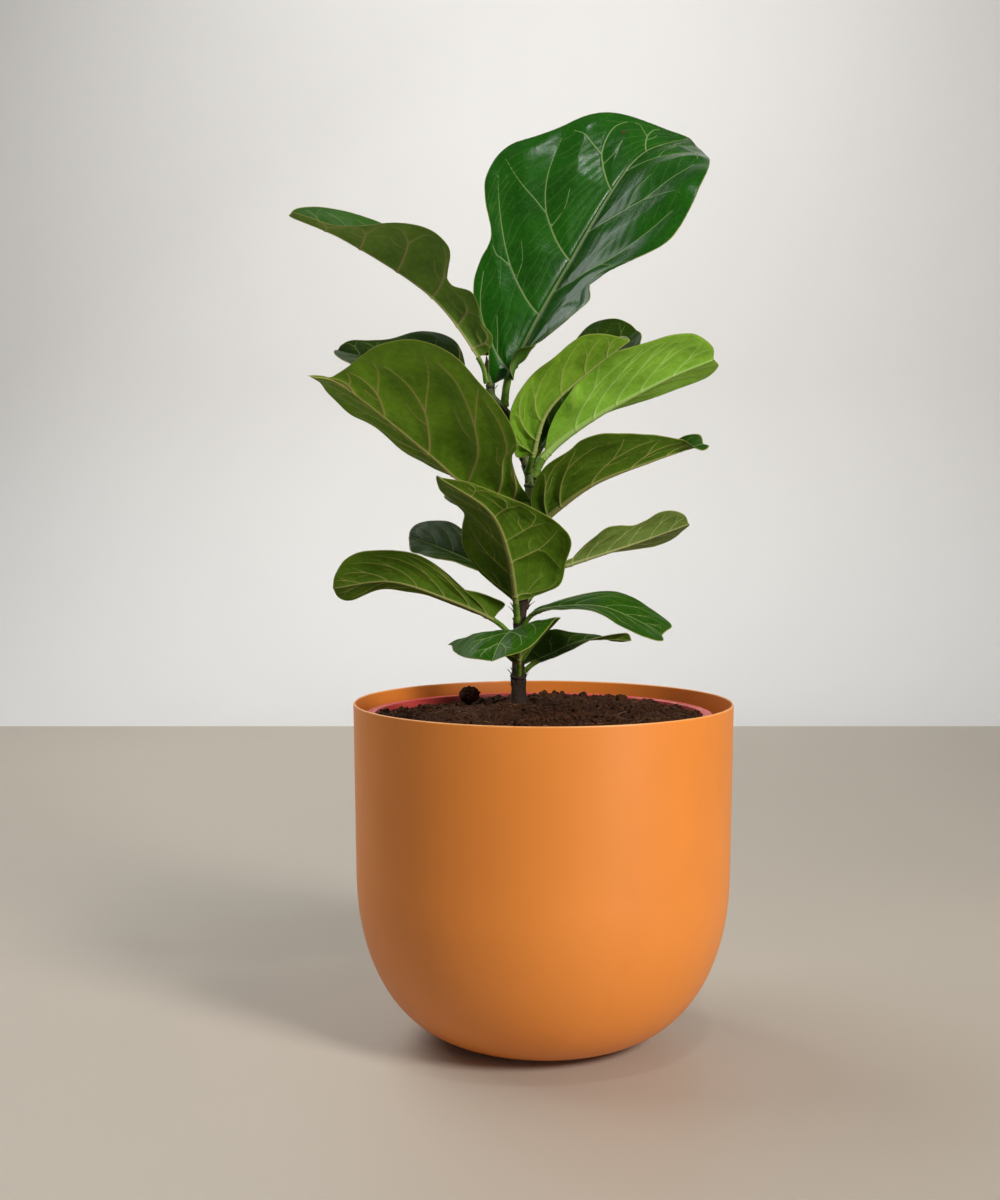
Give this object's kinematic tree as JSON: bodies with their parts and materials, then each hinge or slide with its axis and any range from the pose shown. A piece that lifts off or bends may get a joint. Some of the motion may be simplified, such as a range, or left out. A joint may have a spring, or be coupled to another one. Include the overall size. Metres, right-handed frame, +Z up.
{
  "type": "potted fiddle-leaf fig",
  "caption": "Young fiddle-leaf fig with broad folded leaves on one stem, in a tapered nursery pot set inside a round metal planter with a curved foot.",
  "frame": {"origin": "centre of the flat underside of the planter, on the planter's axis", "axes": "+Z up along the planter's axis and the length of the plant, -Z out of the flat underside, -Y towards the side where the lowest large leaf reaches forward, +X towards the side the top leaf leans to"},
  "size_m": [0.2884, 0.25, 0.6227],
  "materials": {
    "planter_coat": "satin powder coat",
    "pot_plastic": "matte",
    "soil": "loose and fibrous",
    "bark": "rough",
    "scale": "dry",
    "leaf": "glossy above, matte below"
  },
  "bodies": {
    "root": {"leaf_01": "leaf", "leaf_02": "leaf", "leaf_03": "leaf", "leaf_04": "leaf", "leaf_05": "leaf", "leaf_06": "leaf", "leaf_07": "leaf", "leaf_08": "leaf", "leaf_09": "leaf", "leaf_10": "leaf", "leaf_11": "leaf", "leaf_12": "leaf", "leaf_13": "leaf", "leaf_14": "leaf", "leaf_15": "leaf", "leaf_16": "leaf", "leaf_17": "leaf", "planter": "planter_coat", "nursery_pot": "pot_plastic", "soil": "soil", "stem": "bark", "terminal_bud": "scale", "stipule_1": "scale", "stipule_2": "scale", "stipule_3": "scale", "stipule_4": "scale", "stipule_5": "scale", "stipule_6": "scale", "soil_clod_1": "soil", "soil_clod_2": "soil", "soil_clod_3": "soil"}
  },
  "joints": []
}
